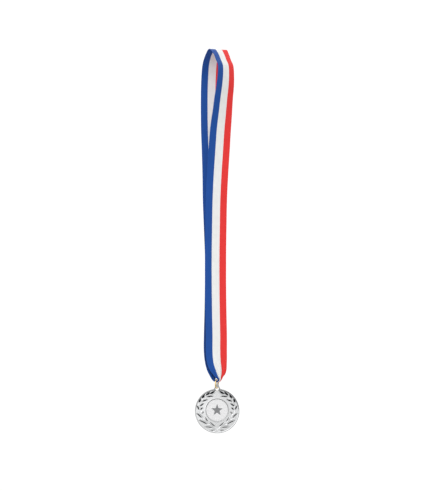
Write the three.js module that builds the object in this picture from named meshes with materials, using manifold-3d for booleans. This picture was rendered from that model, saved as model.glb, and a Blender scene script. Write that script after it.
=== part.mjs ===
// A 50 mm laurel-wreath medal on a tri-colour neck ribbon, hanging from the top of its loop.
// Millimetres, +Z up, +X to the right of the medal's face, which looks along -Y.
// The origin is the highest point of the ribbon loop.

import * as THREE from 'three';
import { mergeVertices } from 'three/addons/utils/BufferGeometryUtils.js';
import Module from 'manifold-3d';

const wasm = await Module();
wasm.setup();

// ---- driving dimensions -------------------------------------------------------------------

const MEDAL_RADIUS = 25;
const MEDAL_THICKNESS = 3;
const MEDAL_CENTRE_Z = -408.8;

const FACE_Y = -MEDAL_THICKNESS / 2; // front of the rim
const BACK_Y = MEDAL_THICKNESS / 2; // flat back
const FIELD_Y = FACE_Y + 0.8; // ground that the wreath stands on
const RIM_WIDTH = 0.9;
const EDGE_CHAMFER = 0.35;

const INSERT_RADIUS = 12.5; // a standard 25 mm centre
const INSERT_THICKNESS = 0.6;
const ADHESIVE_RADIUS = 12;
const ADHESIVE_THICKNESS = 0.25;
const TOUCH_GAP = 0.25; // left between pieces that rest on each other
const RECESS_RADIUS = INSERT_RADIUS + TOUCH_GAP;
const RECESS_DEPTH = 1.7; // below the face of the bead round the recess
const RECESS_RISE = 0.9; // the recess sits this far above the medal's centre
const BEAD_OUTER_RADIUS = 13.9;
const BEAD_Y = FACE_Y + 0.1;

const WIRE_RADIUS = 0.6;
const RING_RADIUS = 4.9; // to the middle of the wire
const RING_TURN = 20; // degrees the ring is turned about Z, its front to the left
const RING_SPLIT = 5; // degrees of the butt gap where the wire's ends meet
const RING_CENTRE = new THREE.Vector3(-0.4, 0, -378.2);

const HOLE_RADIUS = 1.9;
const HOLE_CENTRE_Z = RING_CENTRE.z - RING_RADIUS - 0.7;
const LUG_THICKNESS = 1.8;
const LUG_TOP_Z = -377.1;
const LUG_TIP_RADIUS = 1.1;
const LUG_HALF_BASE = 4.4;
const COLLAR_RADIUS = 3.1; // of the raised ring of metal round the hole

const RIBBON_HALF_WIDTH = 12;
const RIBBON_HALF_THICKNESS = 0.25;
const BEND_Z = -215; // where the lower ribbon folds on the upper
const BEND_GAP = 1.4;

// ---- solids -------------------------------------------------------------------------------

const radians = THREE.MathUtils.degToRad;

function toSolid(geometry) {
  const bare = geometry.clone();
  bare.deleteAttribute('normal');
  bare.deleteAttribute('uv');
  const merged = mergeVertices(bare, 1e-4);
  const vertProperties = new Float32Array(merged.attributes.position.array);
  const triVerts = new Uint32Array(merged.index.array);
  return new wasm.Manifold(new wasm.Mesh({ numProp: 3, vertProperties, triVerts }));
}

function toGeometry(solid) {
  const { vertProperties, triVerts } = solid.getMesh();
  const geometry = new THREE.BufferGeometry();
  geometry.setAttribute('position', new THREE.BufferAttribute(vertProperties, 3));
  geometry.setIndex(new THREE.BufferAttribute(triVerts, 1));
  geometry.computeVertexNormals();
  return geometry;
}

// A closed body through a row of sections, each a loop of points counter-clockwise about the
// way the row runs. `joined` closes the row on itself, and otherwise its ends are capped.
function loft(sections, joined = false) {
  const around = sections[0].length;
  const faces = [];
  const spans = joined ? sections.length : sections.length - 1;
  for (let s = 0; s < spans; s++) {
    const here = s * around;
    const next = ((s + 1) % sections.length) * around;
    for (let k = 0; k < around; k++) {
      const k1 = (k + 1) % around;
      faces.push(here + k, here + k1, next + k1, here + k, next + k1, next + k);
    }
  }
  const last = (sections.length - 1) * around;
  for (let k = 1; k + 1 < around && !joined; k++) {
    faces.push(0, k + 1, k, last, last + k, last + k + 1);
  }
  const geometry = new THREE.BufferGeometry().setFromPoints(sections.flat());
  geometry.setIndex(faces);
  geometry.computeVertexNormals();
  return geometry;
}

function named(name, geometry, color, roughness, metalness) {
  const material = new THREE.MeshStandardMaterial({ color, roughness, metalness });
  const mesh = new THREE.Mesh(geometry, material);
  mesh.name = name;
  return mesh;
}

// ---- medal --------------------------------------------------------------------------------

// The struck blank: flat back, chamfered edge, raised rim and the ground inside it.
function blank() {
  const rimInner = MEDAL_RADIUS - RIM_WIDTH;
  const profile = [
    [0, FIELD_Y],
    [rimInner - 0.5, FIELD_Y],
    [rimInner, FACE_Y],
    [MEDAL_RADIUS - EDGE_CHAMFER, FACE_Y],
    [MEDAL_RADIUS, FACE_Y + EDGE_CHAMFER],
    [MEDAL_RADIUS, BACK_Y - EDGE_CHAMFER],
    [MEDAL_RADIUS - EDGE_CHAMFER, BACK_Y],
    [0, BACK_Y],
  ];
  return toSolid(new THREE.LatheGeometry(profile.map(([r, y]) => new THREE.Vector2(r, y)), 72));
}

// A disc about the recess's centre, from one depth to another.
function discAtRecess(radius, frontY, backY, sides = 60) {
  const disc = new THREE.CylinderGeometry(radius, radius, backY - frontY, sides);
  return disc.translate(0, (frontY + backY) / 2, RECESS_RISE);
}

// The tab above the rim that the jump ring passes through, and the collar round its hole, with
// the hole left uncut.
function lug() {
  const tipZ = LUG_TOP_Z - MEDAL_CENTRE_Z - LUG_TIP_RADIUS;
  const base = MEDAL_RADIUS - RIM_WIDTH - 0.1;
  const outline = new THREE.Shape();
  outline.moveTo(LUG_HALF_BASE, base);
  outline.quadraticCurveTo(2.6, base + 2.8, LUG_TIP_RADIUS, tipZ);
  outline.absarc(0, tipZ, LUG_TIP_RADIUS, 0, Math.PI, false);
  outline.quadraticCurveTo(-2.6, base + 2.8, -LUG_HALF_BASE, base);
  outline.closePath();
  const settings = { depth: LUG_THICKNESS, bevelEnabled: false, curveSegments: 10 };
  const tab = new THREE.ExtrudeGeometry(outline, settings);
  tab.rotateX(Math.PI / 2).translate(0, LUG_THICKNESS / 2, 0);
  const collar = new THREE.CylinderGeometry(COLLAR_RADIUS, COLLAR_RADIUS, LUG_THICKNESS, 40);
  collar.translate(0, 0, HOLE_CENTRE_Z - MEDAL_CENTRE_Z);
  return toSolid(tab).add(toSolid(collar));
}

// A point of the face, by its angle from the top (positive to the right) and its radius.
function onFace(degrees, radius, y) {
  const angle = radians(degrees);
  return new THREE.Vector3(radius * Math.sin(angle), y, radius * Math.cos(angle));
}

// One laurel leaf: a pointed blade with a raised midrib.
function leaf(rootDegrees, rootRadius, tipDegrees, tipRadius, halfWidth) {
  const root = onFace(rootDegrees, rootRadius, 0);
  const tip = onFace(tipDegrees, tipRadius, 0);
  const along = tip.clone().sub(root);
  const side = new THREE.Vector3(along.z, 0, -along.x).normalize();
  const fullness = [0.1, 0.75, 1, 0.7, 0.08];
  const sections = fullness.map((full, i) => {
    const middle = root.clone().addScaledVector(along, i / (fullness.length - 1));
    const at = (across, y) => middle.clone().addScaledVector(side, across * full).setY(y);
    const ridgeY = FIELD_Y - 0.2 - 0.45 * full;
    return [
      at(0, FIELD_Y + 0.3),
      at(-halfWidth, FIELD_Y - 0.15),
      at(0, ridgeY),
      at(halfWidth, FIELD_Y - 0.15),
    ];
  });
  return toSolid(loft(sections));
}

// Angles from the top, from the foot of a branch to its end.
const OUTER_ROOTS = [171, 150, 128, 101, 80, 62, 46, 31];
const OUTER_TIPS = [141, 119, 98, 77, 59, 45, 30, 15];
const INNER_ROOTS = [155, 122, 97, 81, 66, 50, 34];
const INNER_TIPS = [121, 96, 78, 61, 43, 20, 6];
const INNER_TIP_RADII = [15, 15.4, 16.2, 16.8, 17, 17.6, 20.4];

function stemRadius(degrees) {
  return THREE.MathUtils.mapLinear(degrees, 171, 20, 18.4, 21.6);
}

function wreath() {
  const leaves = [];
  for (const side of [-1, 1]) {
    OUTER_ROOTS.forEach((root, i) => {
      const halfWidth = THREE.MathUtils.mapLinear(i, 0, 7, 1.5, 1.05);
      leaves.push(leaf(side * root, stemRadius(root), side * OUTER_TIPS[i], 23.6, halfWidth));
    });
    INNER_ROOTS.forEach((root, i) => {
      const tipRadius = INNER_TIP_RADII[i];
      leaves.push(leaf(side * root, stemRadius(root), side * INNER_TIPS[i], tipRadius, 1.2));
    });
    leaves.push(stem(side));
  }
  return leaves;
}

// The twig that the leaves of one branch grow from.
function stem(side) {
  const sections = [];
  for (let degrees = 184; degrees >= 28; degrees -= 13) {
    const inner = onFace(side * degrees, stemRadius(degrees) - 0.35, 0);
    const outer = onFace(side * degrees, stemRadius(degrees) + 0.35, 0);
    const loop = [
      inner.clone().setY(FIELD_Y + 0.3),
      inner.clone().setY(FIELD_Y - 0.35),
      outer.clone().setY(FIELD_Y - 0.35),
      outer.clone().setY(FIELD_Y + 0.3),
    ];
    sections.push(side > 0 ? loop : loop.reverse());
  }
  return toSolid(loft(sections));
}

function medalDisc() {
  const bead = toSolid(discAtRecess(BEAD_OUTER_RADIUS, BEAD_Y, BACK_Y - 0.5));
  const recess = toSolid(discAtRecess(RECESS_RADIUS, FACE_Y - 1, BEAD_Y + RECESS_DEPTH));
  const hole = new THREE.CylinderGeometry(HOLE_RADIUS, HOLE_RADIUS, 4 * MEDAL_THICKNESS, 32);
  const holeAt = hole.translate(0, 0, HOLE_CENTRE_Z - MEDAL_CENTRE_Z);
  let solid = blank().add(bead).add(lug());
  for (const piece of wreath()) {
    solid = solid.add(piece);
  }
  solid = solid.subtract(recess).subtract(toSolid(holeAt));
  return named('medal_disc', toGeometry(solid), 0xd6d7d9, 0.25, 1);
}

const ADHESIVE_BACK_Y = BEAD_Y + RECESS_DEPTH - TOUCH_GAP;
const INSERT_BACK_Y = ADHESIVE_BACK_Y - ADHESIVE_THICKNESS - TOUCH_GAP;
const INSERT_FRONT_Y = INSERT_BACK_Y - INSERT_THICKNESS;

// The centre plate, with a plain five-pointed star pressed into it.
function centreInsert() {
  const outline = new THREE.Shape();
  for (let corner = 0; corner < 10; corner++) {
    const reach = corner % 2 === 0 ? 7 : 2.9;
    const angle = radians(90 + corner * 36);
    outline.lineTo(reach * Math.cos(angle), reach * Math.sin(angle));
  }
  outline.closePath();
  const star = new THREE.ExtrudeGeometry(outline, { depth: 1, bevelEnabled: false });
  star.rotateX(Math.PI / 2).translate(0, INSERT_FRONT_Y + 0.15, RECESS_RISE);
  const plate = toSolid(discAtRecess(INSERT_RADIUS, INSERT_FRONT_Y, INSERT_BACK_Y));
  const pressed = plate.subtract(toSolid(star));
  return named('centre_insert', toGeometry(pressed), 0xe2e3e4, 0.5, 0.6);
}

function insertAdhesive() {
  const frontY = ADHESIVE_BACK_Y - ADHESIVE_THICKNESS;
  const disc = discAtRecess(ADHESIVE_RADIUS, frontY, ADHESIVE_BACK_Y, 48);
  return named('insert_adhesive', disc, 0xf0efe8, 0.8, 0);
}

// ---- jump ring ----------------------------------------------------------------------------

// A round wire bent to a circle that hangs edge-on to the face, its ends butted at the back.
function jumpRing() {
  const steps = 44;
  const splitAt = 40; // degrees above the level of the ring's centre, at the back
  const sections = [];
  for (let i = 0; i <= steps; i++) {
    const sweep = radians(splitAt + RING_SPLIT / 2 + ((360 - RING_SPLIT) * i) / steps);
    const out = new THREE.Vector3(0, Math.cos(sweep), Math.sin(sweep));
    const across = new THREE.Vector3(-1, 0, 0);
    const loop = [];
    for (let k = 0; k < 12; k++) {
      const turn = (k / 12) * 2 * Math.PI;
      const point = out.clone().multiplyScalar(RING_RADIUS + WIRE_RADIUS * Math.cos(turn));
      loop.push(point.addScaledVector(across, WIRE_RADIUS * Math.sin(turn)));
    }
    sections.push(loop);
  }
  const ring = named('jump_ring', loft(sections), 0xc9a45c, 0.3, 1);
  ring.rotation.z = -radians(RING_TURN);
  ring.position.copy(RING_CENTRE);
  return ring;
}

// ---- ribbon -------------------------------------------------------------------------------

// The ribbon's middle line, from the top of the loop down the front strand, through the ring
// and up the back strand: x, y, z, the width's turn from +X towards +Y in degrees, half the
// width, half the thickness. It is spread flat but for the gathers at the ring.
const FLAT = [RIBBON_HALF_WIDTH, RIBBON_HALF_THICKNESS];
const ROUTE = [
  [0.9, 0, -0.25, 34, ...FLAT],
  [4.4, -4.7, -5.4, 42, ...FLAT],
  [7, -8.3, -12.2, 44, ...FLAT],
  [9.5, -11.3, -19, 43, ...FLAT],
  [9.9, -12.8, -29, 40, ...FLAT],
  [9.1, -13, -41.6, 34, ...FLAT],
  [7.5, -12, -55, 29, ...FLAT],
  [5.9, -10.4, -71, 23, ...FLAT],
  [3.8, -8.4, -91.3, 12, ...FLAT],
  [2.3, -6.3, -114, 4, ...FLAT],
  [0.5, -4.2, -142, 0, ...FLAT],
  [-0.8, -2.3, -170.4, 0, ...FLAT],
  [-1.4, -0.9, -202, 0, ...FLAT],
  [-1.8, -0.5, -232.5, 0, ...FLAT],
  [-1.8, -0.5, -266.5, 0, ...FLAT],
  [-1.4, -0.5, -297, 0, ...FLAT],
  [-0.9, -0.55, -323, 0, ...FLAT],
  [-0.9, -0.7, -342, 0, ...FLAT],
  [-0.1, -0.95, -353.5, 4, 11.3, 0.4],
  [1.8, -1.3, -362.5, 9, 9.3, 0.7],
  [2.6, -1.3, -368.2, 18, 6.7, 0.9],
  [2.8, -1.2, -370.6, 26, 4.8, 1],
  [3, -0.9, -372.8, 40, 3.4, 1.05],
  [1.5, -0.5, -375, 66, 1.7, 1.2],
  [-0.4, 0, -375.5, 70, 1.25, 1.25],
  [-2.4, 0.5, -375, 66, 1.7, 1.2],
  [-4, 0.9, -372.9, 40, 2.6, 1.05],
  [-3.9, 1.2, -371, 30, 3.8, 1],
  [-3.5, 1.5, -368.5, 18, 5.4, 0.9],
  [-1.4, 1.3, -362.5, 8, 10.2, 0.6],
  [-2.1, 1, -353.5, 4, 11.7, 0.35],
  [-3.1, 0.7, -340, 0, ...FLAT],
  [-3, 0.55, -323, 0, ...FLAT],
  [-2.3, 0.5, -297, 0, ...FLAT],
  [-1.9, 0.5, -266.5, 0, ...FLAT],
  [-1.9, 0.5, -232.5, 0, ...FLAT],
  [-3, 0.9, -202, 0, ...FLAT],
  [-4.2, 2.3, -170.4, 0, ...FLAT],
  [-4.6, 4.2, -142, 0, ...FLAT],
  [-5.4, 6.3, -114, 0, ...FLAT],
  [-6.2, 8.2, -91.3, 0, ...FLAT],
  [-6.5, 10, -71, 0, ...FLAT],
  [-6.5, 11.4, -55, 0, ...FLAT],
  [-6.3, 12.2, -41.6, 2, ...FLAT],
  [-5.8, 12.3, -29, 6, ...FLAT],
  [-5.2, 10.9, -19, 14, ...FLAT],
  [-4.2, 8.6, -12.2, 22, ...FLAT],
  [-2.2, 4.8, -5.4, 29, ...FLAT],
];

// A rounded rectangle across the ribbon, which swells to an ellipse as it is gathered.
function ribbonSection(centre, travel, turn, halfWidth, halfThickness) {
  const width = new THREE.Vector3(Math.cos(radians(turn)), Math.sin(radians(turn)), 0);
  width.addScaledVector(travel, -width.dot(travel)).normalize();
  const thick = travel.clone().cross(width);
  const roundness = THREE.MathUtils.clamp((2 * halfThickness) / halfWidth, 0.25, 1);
  const loop = [];
  for (let k = 0; k < 12; k++) {
    const angle = ((k + 0.5) / 12) * 2 * Math.PI;
    const c = Math.cos(angle);
    const s = Math.sin(angle);
    const across = halfWidth * Math.sign(c) * Math.abs(c) ** roundness;
    const up = halfThickness * Math.sign(s) * Math.abs(s) ** roundness;
    loop.push(centre.clone().addScaledVector(width, across).addScaledVector(thick, up));
  }
  return loop;
}

function ribbonLoop(stepsPerStation = 3) {
  const closed = (points) => new THREE.CatmullRomCurve3(points, true, 'catmullrom', 0.5);
  const middle = closed(ROUTE.map(([x, y, z]) => new THREE.Vector3(x, y, z)));
  const shape = closed(ROUTE.map(([, , , turn, w, t]) => new THREE.Vector3(turn, w, t)));
  const sections = [];
  const steps = ROUTE.length * stepsPerStation;
  for (let i = 0; i < steps; i++) {
    const { x: turn, y: halfWidth, z: halfThickness } = shape.getPoint(i / steps);
    const travel = middle.getTangent(i / steps);
    const centre = middle.getPoint(i / steps);
    sections.push(ribbonSection(centre, travel, turn, halfWidth, halfThickness));
  }
  return toSolid(loft(sections, true));
}

function boxBetween(low, high) {
  const size = new THREE.Vector3(...high).sub(new THREE.Vector3(...low));
  const box = new THREE.BoxGeometry(size.x, size.y, size.z);
  return toSolid(box.translate(low[0] + size.x / 2, low[1] + size.y / 2, low[2] + size.z / 2));
}

// Where the ribbon's two ends are lapped and sewn, on the outside of the back strand.
const LAP = { x: -2.4, y: 0.74, topZ: -303, bottomZ: -315, thickness: 0.5 };

function ribbonHalves() {
  const lap = boxBetween(
    [LAP.x - RIBBON_HALF_WIDTH, LAP.y - 0.1, LAP.bottomZ],
    [LAP.x + RIBBON_HALF_WIDTH, LAP.y + LAP.thickness, LAP.topZ],
  );
  const loop = ribbonLoop().add(lap);
  const above = boxBetween([-50, -50, BEND_Z + BEND_GAP / 2], [50, 50, 10]);
  const below = boxBetween([-50, -50, -400], [50, 50, BEND_Z - BEND_GAP / 2]);
  return [
    named('ribbon_upper', toGeometry(loop.intersect(above)), 0x2a559a, 0.8, 0),
    named('ribbon_lower', toGeometry(loop.intersect(below)), 0xdb4a42, 0.8, 0),
  ];
}

// One run of zigzag stitching across the lap.
function seamThread() {
  const points = 17;
  const reach = RIBBON_HALF_WIDTH - 1.2;
  const halfHeight = 3;
  const halfThread = 0.4;
  const zigzag = Array.from({ length: points }, (_, i) => {
    const x = THREE.MathUtils.lerp(-reach, reach, i / (points - 1));
    return new THREE.Vector2(x, i % 2 === 0 ? -halfHeight : halfHeight);
  });
  const raised = zigzag.map(({ x, y }) => new THREE.Vector2(x, y + halfThread));
  const lowered = zigzag.map(({ x, y }) => new THREE.Vector2(x, y - halfThread));
  const outline = new THREE.Shape([...lowered, ...raised.reverse()]);
  const thread = new THREE.ExtrudeGeometry(outline, { depth: 0.3, bevelEnabled: false });
  const backY = LAP.y + LAP.thickness + TOUCH_GAP + 0.3;
  thread.rotateX(Math.PI / 2).translate(LAP.x, backY, (LAP.topZ + LAP.bottomZ) / 2);
  return named('seam_thread', thread, 0xe8e8e4, 0.9, 0);
}

// ---- assembly -----------------------------------------------------------------------------

const medal = new THREE.Group();
medal.position.z = MEDAL_CENTRE_Z;
medal.add(medalDisc(), centreInsert(), insertAdhesive());

const assembly = new THREE.Group();
assembly.add(...ribbonHalves(), seamThread(), jumpRing(), medal);

export default assembly;
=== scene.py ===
"""Looks of a 50 mm laurel-wreath medal hanging on a tri-colour neck ribbon.

Lengths inside the piece builders are millimetres in the frame's own axes: +Z up, +X to the
right of the medal's face, and the face looks along -Y. They are scaled to metres at the end.
"""

import math

import bmesh
import bpy
import numpy as np
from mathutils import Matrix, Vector


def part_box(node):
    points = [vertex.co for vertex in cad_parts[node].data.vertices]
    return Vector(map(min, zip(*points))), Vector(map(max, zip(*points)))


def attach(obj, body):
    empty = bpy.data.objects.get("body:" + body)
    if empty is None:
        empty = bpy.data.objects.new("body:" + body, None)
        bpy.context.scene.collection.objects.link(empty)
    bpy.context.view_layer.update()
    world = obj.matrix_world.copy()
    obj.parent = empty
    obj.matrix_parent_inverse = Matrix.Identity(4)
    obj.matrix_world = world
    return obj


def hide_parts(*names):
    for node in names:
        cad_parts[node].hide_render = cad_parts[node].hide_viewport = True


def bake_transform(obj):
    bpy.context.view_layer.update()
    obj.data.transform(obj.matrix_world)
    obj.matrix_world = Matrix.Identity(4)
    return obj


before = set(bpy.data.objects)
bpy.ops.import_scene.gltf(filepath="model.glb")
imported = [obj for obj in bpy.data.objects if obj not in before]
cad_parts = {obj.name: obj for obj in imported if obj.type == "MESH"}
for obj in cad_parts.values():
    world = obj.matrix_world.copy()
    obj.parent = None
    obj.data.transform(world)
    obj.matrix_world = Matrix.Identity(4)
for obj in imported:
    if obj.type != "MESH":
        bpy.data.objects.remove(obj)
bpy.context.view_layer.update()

MM = 0.001

# ---- sizes and places from the CAD --------------------------------------------------------


def cad_box(node):
    """A CAD node's lowest and highest corners, in millimetres to the nearest hundredth."""
    return np.round(np.array(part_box(node)) / MM, 2)


MEDAL_LOW, MEDAL_HIGH = cad_box("medal_disc")
MEDAL_RADIUS = MEDAL_HIGH[0]
MEDAL_CENTRE_Z = MEDAL_LOW[2] + MEDAL_RADIUS
LUG_TOP_Z = MEDAL_HIGH[2]

INSERT_LOW, INSERT_HIGH = cad_box("centre_insert")
INSERT_RADIUS = INSERT_HIGH[0]
INSERT_THICKNESS = INSERT_HIGH[1] - INSERT_LOW[1]
RECESS_RISE = (INSERT_LOW[2] + INSERT_HIGH[2]) / 2 - MEDAL_CENTRE_Z  # over the medal's centre
PAD_FRONT_Y = cad_box("insert_adhesive")[0, 1]

RING_LOW, RING_HIGH = cad_box("jump_ring")
WIRE_RADIUS = 0.6
RING_RADIUS = (RING_HIGH[2] - RING_LOW[2]) / 2 - WIRE_RADIUS  # to the middle of the wire
RING_CENTRE = np.array([-0.4, 0, (RING_LOW[2] + RING_HIGH[2]) / 2])

# ---- camera -------------------------------------------------------------------------------

CAMERA_DISTANCE = 3.0
PICTURE_HEIGHT = 0.5548  # metres of the object's plane that the picture's long side covers
AIM = Vector((-0.0024, 0, -0.2218))  # the place in the middle of the picture

camera_data = bpy.data.cameras.new("camera")
camera_data.sensor_width = 36
camera_data.lens = camera_data.sensor_width * CAMERA_DISTANCE / PICTURE_HEIGHT
camera = bpy.data.objects.new("camera", camera_data)
camera.location = AIM + Vector((0, -CAMERA_DISTANCE, 0))
camera.rotation_euler = (math.pi / 2, 0, 0)
bpy.context.scene.collection.objects.link(camera)
bpy.context.scene.camera = camera
bpy.context.scene.view_settings.view_transform = "Standard"

# ---- node trees ---------------------------------------------------------------------------


def add_node(tree, kind, inputs=None, output=0, **settings):
    """Adds one node, sets or links its inputs, and gives one of its outputs."""
    node = tree.nodes.new("ShaderNode" + kind)
    for name, value in settings.items():
        setattr(node, name, value)
    for key, value in (inputs or {}).items():
        if isinstance(value, bpy.types.NodeSocket):
            tree.links.new(value, node.inputs[key])
        else:
            node.inputs[key].default_value = value
    return node.outputs[output]


def maths(tree, operation, *values):
    return add_node(tree, "Math", dict(enumerate(values)), operation=operation)


def smooth_step(tree, value, low, high):
    inputs = {"Value": value, "From Min": low, "From Max": high}
    return add_node(tree, "MapRange", inputs, interpolation_type="SMOOTHSTEP")


def mix_colour(tree, factor, a, b, blend="MIX"):
    colours = {0: factor, 6: a, 7: b}
    return add_node(tree, "Mix", colours, 2, data_type="RGBA", blend_type=blend)


def noise(tree, vector, scale, detail=2.0, roughness=0.5):
    inputs = {"Vector": vector, "Scale": scale, "Detail": detail, "Roughness": roughness}
    return add_node(tree, "TexNoise", inputs)


def object_point(tree):
    return add_node(tree, "TexCoord", output=3)


def attribute(tree, name):
    return add_node(tree, "Attribute", attribute_name=name, output=2)


def bump(tree, height, distance, strength=1.0):
    inputs = {"Height": height, "Distance": distance, "Strength": strength}
    return add_node(tree, "Bump", inputs)


def axis_parts(tree, vector):
    """A vector's three values, as outputs of their own."""
    parts = tree.nodes.new("ShaderNodeSeparateXYZ")
    tree.links.new(vector, parts.inputs[0])
    return parts.outputs


def ranged(tree, share, low, high):
    """A value that goes from the low one to the high one as a share goes from 0 to 1."""
    return maths(tree, "MULTIPLY_ADD", share, high - low, low)


def tinted(tree, colour, tone):
    """A colour made darker by a grey tone."""
    return mix_colour(tree, 1.0, colour, tone, "MULTIPLY")


def socket_name(key):
    return key.replace("_", " ").title().replace("Ior", "IOR")


def new_material(name, **constants):
    """A Principled material: gives the material, its tree and its shader."""
    material = bpy.data.materials.new(name)
    material.use_nodes = True
    tree = material.node_tree
    shader = tree.nodes["Principled BSDF"]
    for key, value in constants.items():
        shader.inputs[socket_name(key)].default_value = value
    return material, tree, shader


def connect(tree, shader, **sockets):
    for key, value in sockets.items():
        tree.links.new(value, shader.inputs[socket_name(key)])


def srgb(red, green, blue):
    """A linear colour from its usual 0 to 255 values."""
    def linear(value):
        share = value / 255
        return share / 12.92 if share <= 0.04045 else ((share + 0.055) / 1.055) ** 2.4

    return (linear(red), linear(green), linear(blue), 1)


# ---- meshes -------------------------------------------------------------------------------


def new_piece(name, vertices, faces, material, slot, sharp_degrees=40):
    """A smooth-shaded mesh object from points in millimetres."""
    mesh = bpy.data.meshes.new(name)
    mesh.from_pydata((np.asarray(vertices) * MM).tolist(), [], faces)
    mesh.update()
    mesh.materials.append(material)
    piece = bpy.data.objects.new(name, mesh)
    bpy.context.scene.collection.objects.link(piece)
    finish_mesh(piece, sharp_degrees)
    return piece


def finish_mesh(piece, sharp_degrees):
    """Turns the normals outwards and shades the piece smooth between its sharp edges."""
    shape = bmesh.new()
    shape.from_mesh(piece.data)
    bmesh.ops.recalc_face_normals(shape, faces=shape.faces)
    shape.to_mesh(piece.data)
    shape.free()
    piece.data.shade_smooth()
    piece.data.set_sharp_from_angle(angle=math.radians(sharp_degrees))


def capped_tube_faces(rows, around):
    """Quads between rows of points that each close on themselves, and a face on each end."""
    faces = []
    for row in range(rows - 1):
        here = row * around
        there = here + around
        for k in range(around):
            k1 = (k + 1) % around
            faces.append((here + k, here + k1, there + k1, there + k))
    last = (rows - 1) * around
    faces.append(tuple(range(around)))
    faces.append(tuple(range(last + around - 1, last - 1, -1)))
    return faces


def circle_angles(count):
    return np.arange(count) * 2 * math.pi / count


def points_of(mesh):
    """A mesh's points, in millimetres."""
    flat = np.empty(len(mesh.vertices) * 3, dtype=np.float32)
    mesh.vertices.foreach_get("co", flat)
    return flat.reshape(-1, 3).astype(float) / MM


def store_values(mesh, name, values):
    """Keeps one number for each point of a mesh, for its material to read."""
    store = mesh.attributes.new(name, "FLOAT", "POINT")
    store.data.foreach_set("value", values.astype(np.float32))


def unit(vectors):
    """Each row of an array as a vector of length one."""
    return vectors / np.linalg.norm(vectors, axis=1)[:, None]


def smooth(value, low, high):
    """Rises smoothly from 0 at the low value to 1 at the high one."""
    share = np.clip((value - low) / (high - low), 0, 1)
    return share * share * (3 - 2 * share)


def band(value, rise, fall):
    """Rises from 0 to 1 over one pair of values, and falls back to 0 over another."""
    return smooth(value, *rise) * (1 - smooth(value, *fall))


# ---- ribbon -------------------------------------------------------------------------------

RIBBON_WIDTH = 24.0
RIBBON_THICKNESS = 0.36
GATHERS = 7  # folds across the ribbon where it is drawn through the ring
FLAT = (RIBBON_WIDTH / 2, 0.25)  # half the width and half the depth of ungathered cloth

# Stations down the middle line, from the top of the loop down the front strand, through the
# ring and up the back strand: x, y, z, the width's turn from +X towards +Y in degrees, half the
# width, and half the depth that the gathers take.
ROUTE = np.array([
    [0.9, 0, -0.25, 34, *FLAT],
    [4.4, -4.7, -5.4, 42, *FLAT],
    [7, -8.3, -12.2, 44, *FLAT],
    [9.5, -11.3, -19, 43, *FLAT],
    [9.9, -12.8, -29, 40, *FLAT],
    [9.1, -13, -41.6, 34, *FLAT],
    [7.5, -12, -55, 29, *FLAT],
    [5.9, -10.4, -71, 23, *FLAT],
    [3.8, -8.4, -91.3, 12, *FLAT],
    [2.3, -6.3, -114, 4, *FLAT],
    [0.5, -4.2, -142, 0, *FLAT],
    [-0.8, -2.3, -170.4, 0, *FLAT],
    [-1.4, -0.9, -202, 0, *FLAT],
    [-1.8, -0.5, -232.5, 0, *FLAT],
    [-1.8, -0.5, -266.5, 0, *FLAT],
    [-1.4, -0.5, -297, 0, *FLAT],
    [-0.9, -0.55, -323, 0, *FLAT],
    [-0.9, -0.7, -342, 0, *FLAT],
    [-0.1, -0.95, -353.5, 4, 11.3, 0.4],
    [1.8, -1.3, -362.5, 9, 9.3, 0.7],
    [2.6, -1.3, -368.2, 18, 6.7, 0.9],
    [2.8, -1.2, -370.6, 26, 4.8, 1],
    [3, -0.9, -372.8, 40, 3.4, 1.05],
    [1.5, -0.5, -375, 66, 1.7, 1.2],
    [-0.4, 0, -375.5, 70, 1.25, 1.25],
    [-2.4, 0.5, -375, 66, 1.7, 1.2],
    [-4, 0.9, -372.9, 40, 2.6, 1.05],
    [-3.9, 1.2, -371, 30, 3.8, 1],
    [-3.5, 1.5, -368.5, 18, 5.4, 0.9],
    [-1.4, 1.3, -362.5, 8, 10.2, 0.6],
    [-2.1, 1, -353.5, 4, 11.7, 0.35],
    [-3.1, 0.7, -340, 0, *FLAT],
    [-3, 0.55, -323, 0, *FLAT],
    [-2.3, 0.5, -297, 0, *FLAT],
    [-1.9, 0.5, -266.5, 0, *FLAT],
    [-1.9, 0.5, -232.5, 0, *FLAT],
    [-3, 0.9, -202, 0, *FLAT],
    [-4.2, 2.3, -170.4, 0, *FLAT],
    [-4.6, 4.2, -142, 0, *FLAT],
    [-5.4, 6.3, -114, 0, *FLAT],
    [-6.2, 8.2, -91.3, 0, *FLAT],
    [-6.5, 10, -71, 0, *FLAT],
    [-6.5, 11.4, -55, 0, *FLAT],
    [-6.3, 12.2, -41.6, 2, *FLAT],
    [-5.8, 12.3, -29, 6, *FLAT],
    [-5.2, 10.9, -19, 14, *FLAT],
    [-4.2, 8.6, -12.2, 22, *FLAT],
    [-2.2, 4.8, -5.4, 29, *FLAT],
])

# Where the cloth is drawn through the ring: by station, the width's tilt from level in degrees,
# and how strongly the cloth is crowded towards its red selvedge, where 1 is not at all.
LEVEL = (0, 1)  # neither tilted nor crowded
AT_RING = {
    20: (5, 1.0),
    21: (8, 1.0),
    22: (0, 1.0),
    23: (-42, 1.0),
    24: (-30, 2.2),
    25: (0, 4.2),
    26: (0, 5.4),
    27: (0, 5.0),
    28: (0, 3.4),
    29: (0, 1.6),
}
ROUTE = np.hstack([ROUTE, [AT_RING.get(i, LEVEL) for i in range(len(ROUTE))]])
TURN, HALF_WIDTH, HALF_DEPTH, TILT, CROWDING = range(3, 8)  # the columns after x, y and z

# Stations over which the cloth's threads begin and cease to shear, so that its sections keep
# their own tilt whichever way the strand travels: on the front strand, then on the back one.
SHEARED = (
    ((19.2, 20.2), (22.2, 23)),
    ((25.6, 26.4), (29.6, 30.8)),
)

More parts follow.
